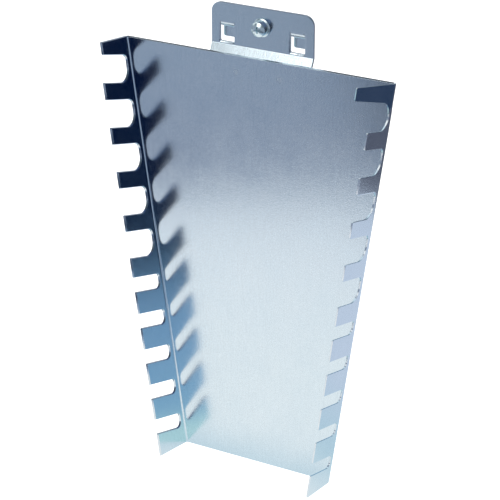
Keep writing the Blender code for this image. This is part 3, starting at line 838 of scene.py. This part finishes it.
def table():
    """Glowing card standing in for a bright table top level with the rack's lower edge, dimmer past its front; its
    colours are painted reflections. Only the metal's reflections show it.
    """
    x0, x1, y0, y1 = TABLE
    z = place((0, 0, -RACK_H)).z - 0.0005
    bm = bmesh.new()
    bm.faces.new([bm.verts.new((x, y, z)) for x, y in ((x0, y0), (x1, y0), (x1, y1), (x0, y1))])
    mesh = bpy.data.meshes.new("table")
    bm.to_mesh(mesh)
    bm.free()
    m = bpy.data.materials.new("table_top_glow")
    m.use_nodes = True
    m.cycles.emission_sampling = "NONE"
    t = m.node_tree
    t.nodes.clear()
    xyz = node(t, "ShaderNodeSeparateXYZ", None, Vector=node(t, "ShaderNodeNewGeometry").outputs["Position"])
    x, y = xyz.outputs["X"], xyz.outputs["Y"]
    # millimetres out from the rack towards the front left and towards the front right
    to_left = math_node(t, "ADD", math_node(t, "MULTIPLY", x, -492.2), math_node(t, "MULTIPLY", y, -870.5))
    to_right = math_node(t, "ADD", math_node(t, "MULTIPLY", x, 492.2), math_node(t, "MULTIPLY", y, -870.5))
    # painted reflections: colours for light off the metal after one reflection (first) and after two or more (later)
    first = ramp(t, to_left, -100, 900, [(-100, (0.97, 0.98, 0.98)), (100, (0.97, 0.98, 0.98)), (240, (0.94, 0.95, 0.97)), (368, (0.86, 0.88, 0.93)), (374, (0.345, 0.38, 0.475)), (500, (0.285, 0.325, 0.42)), (545, (0.31, 0.36, 0.465)), (900, (0.33, 0.39, 0.49))])
    later = ramp(t, to_right, -100, 900, [(-100, (0.80, 0.97, 0.95)), (10, (0.75, 0.95, 0.92)), (45, (0.36, 0.57, 0.75)), (180, (0.32, 0.485, 0.68)), (318, (0.31, 0.49, 0.70)), (326, (0.001, 0.005, 0.03)), (900, (0.0, 0.004, 0.028))])
    # beyond the strip that the back plate shows: painted reflections for its folds and cut edges
    across = math_node(t, "MULTIPLY_ADD", y, -0.5625, x)
    cut = ramp(t, to_right, -100, 900, [(-100, (0.42, 0.50, 0.66)), (180, (0.36, 0.46, 0.62)), (300, (0.22, 0.32, 0.46)), (330, (0.004, 0.012, 0.035)), (900, (0.004, 0.012, 0.035))])
    fold = ramp(t, to_right, -100, 900, [(-100, (0.56, 0.63, 0.79)), (100, (0.46, 0.53, 0.69)), (262, (0.33, 0.40, 0.57)), (300, (0.25, 0.32, 0.48)), (345, (0.17, 0.23, 0.36)), (400, (0.05, 0.08, 0.14)), (900, (0.03, 0.05, 0.10))])
    edge = mix(t, span(t, across, 0.32, 0.37, 0.0, 1.0, True), cut, fold)
    first = mix(t, span(t, across, 0.105, 0.125, 0.0, 1.0, True), first, edge)
    behind = mix(t, span(t, y, 0.0, 0.10, 0.0, 1.0, True), (0.54, 0.71, 0.80), (0.64, 0.70, 0.83))
    first = mix(t, span(t, y, -0.05, 0.03, 0.0, 1.0, True), first, behind)
    colour = mix(t, later_bounce(t, 1), first, later)
    glow = node(t, "ShaderNodeEmission", None, Color=colour)
    node(t, "ShaderNodeOutputMaterial", None, Surface=glow.outputs["Emission"])
    mesh.materials.append(m)
    ob = bpy.data.objects.new("table", mesh)
    bpy.context.scene.collection.objects.link(ob)
    ob.visible_camera = ob.visible_diffuse = ob.visible_shadow = ob.visible_transmission = False


def world():
    """Studio surround: a broad soft light in front, a pale wall behind on the left, dim elsewhere."""
    w = bpy.data.worlds.new("studio")
    bpy.context.scene.world = w
    w.use_nodes = True
    w.cycles.sampling_method = "NONE"
    t = w.node_tree
    t.nodes.clear()
    ray = node(t, "ShaderNodeTexCoord").outputs["Generated"]
    xyz = node(t, "ShaderNodeSeparateXYZ", None, Vector=ray)
    # degrees above the horizon, and round from the front towards the right
    el = math_node(t, "MULTIPLY", math_node(t, "ARCSINE", xyz.outputs["Z"]), 57.29578)
    az = math_node(t, "MULTIPLY", math_node(t, "ARCTAN2", xyz.outputs["X"], math_node(t, "MULTIPLY", xyz.outputs["Y"], -1.0)), 57.29578)
    low = mix(t, between(t, az, 46, 84, 10, 10), (0.24, 0.285, 0.375), (0.33, 0.385, 0.52))
    low = mix(t, between(t, az, 90, 128, 8, 8), low, (0.03, 0.05, 0.10))
    low = mix(t, between(t, az, 130, 168, 8, 8), low, (0.105, 0.11, 0.155))
    low = mix(t, between(t, az, 168, 200, 8, 8), low, (0.085, 0.115, 0.125))
    high = mix(t, between(t, az, -143, -60, 6, 10), (0.10, 0.14, 0.18), (1.1, 1.12, 1.12))
    high = mix(t, between(t, az, -190, -146, 10, 6), high, (0.36, 0.40, 0.46))
    high = mix(t, between(t, az, -31.8, 1, 2, 8), high, (2.2, 2.2, 2.2))
    upper = between(t, az, -78, -20, 8, 8)
    high = mix(t, math_node(t, "MULTIPLY", upper, span(t, el, 32, 37, 0.0, 1.0, True)), high, (1.7, 1.7, 1.7))
    first = mix(t, span(t, el, 4, 16, 0.0, 1.0, True), low, high)
    first = mix(t, span(t, el, 42, 56, 0.0, 1.0, True), first, (0.07, 0.09, 0.12))
    later = mix(t, between(t, az, -14, 90, 10, 10), (0.45, 0.55, 0.60), (0.0, 0.004, 0.028))
    above = mix(t, between(t, az, -84, -40, 8, 6), (0.08, 0.12, 0.24), (1.0, 1.08, 1.12))
    later = mix(t, span(t, el, 10, 20, 0.0, 1.0, True), later, above)
    path = node(t, "ShaderNodeLightPath")
    colour = mix(t, later_bounce(t, 2), first, later)
    colour = mix(t, path.outputs["Is Diffuse Ray"], colour, (0.9, 0.9, 0.9))
    colour = mix(t, path.outputs["Is Camera Ray"], colour, (1.0, 1.0, 1.0))
    back = node(t, "ShaderNodeBackground", None, Color=colour)
    node(t, "ShaderNodeOutputWorld", None, Surface=back.outputs["Background"])


def softbox(name, place_, target, size, power):
    light = bpy.data.lights.new(name, "AREA")
    light.shape, light.size, light.energy = "DISK", size, power
    ob = bpy.data.objects.new(name, light)
    ob.location = place_
    ob.rotation_mode = "QUATERNION"
    ob.rotation_quaternion = (Vector(target) - Vector(place_)).to_track_quat("-Z", "Y")
    bpy.context.scene.collection.objects.link(ob)
    ob.visible_glossy = False


def camera():
    az, el = math.radians(29.4827), math.radians(23.5548)
    right = Vector((math.cos(az), math.sin(az), 0))
    back = Vector((math.sin(az) * math.cos(el), -math.cos(az) * math.cos(el), math.sin(el)))
    up = back.cross(right)
    at = place(right * -3.1184 + up * -90.1609 + back * 964.7112 + Vector((RACK_X, 0, 0)))
    data = bpy.data.cameras.new("camera")
    data.sensor_width, data.lens = 36.0, 2045.61 * 36.0 / 500.0
    data.clip_start, data.clip_end = 0.01, 50.0
    ob = bpy.data.objects.new("camera", data)
    ob.matrix_world = Matrix((right, up, back)).transposed().to_4x4()
    ob.location = at
    bpy.context.scene.collection.objects.link(ob)
    bpy.context.scene.camera = ob


floor()
table()
world()
softbox("key", (-0.9, -1.2, 1.6), (0, 0, -0.1), 0.9, 18)
camera()
bpy.context.scene.view_settings.view_transform = "Standard"
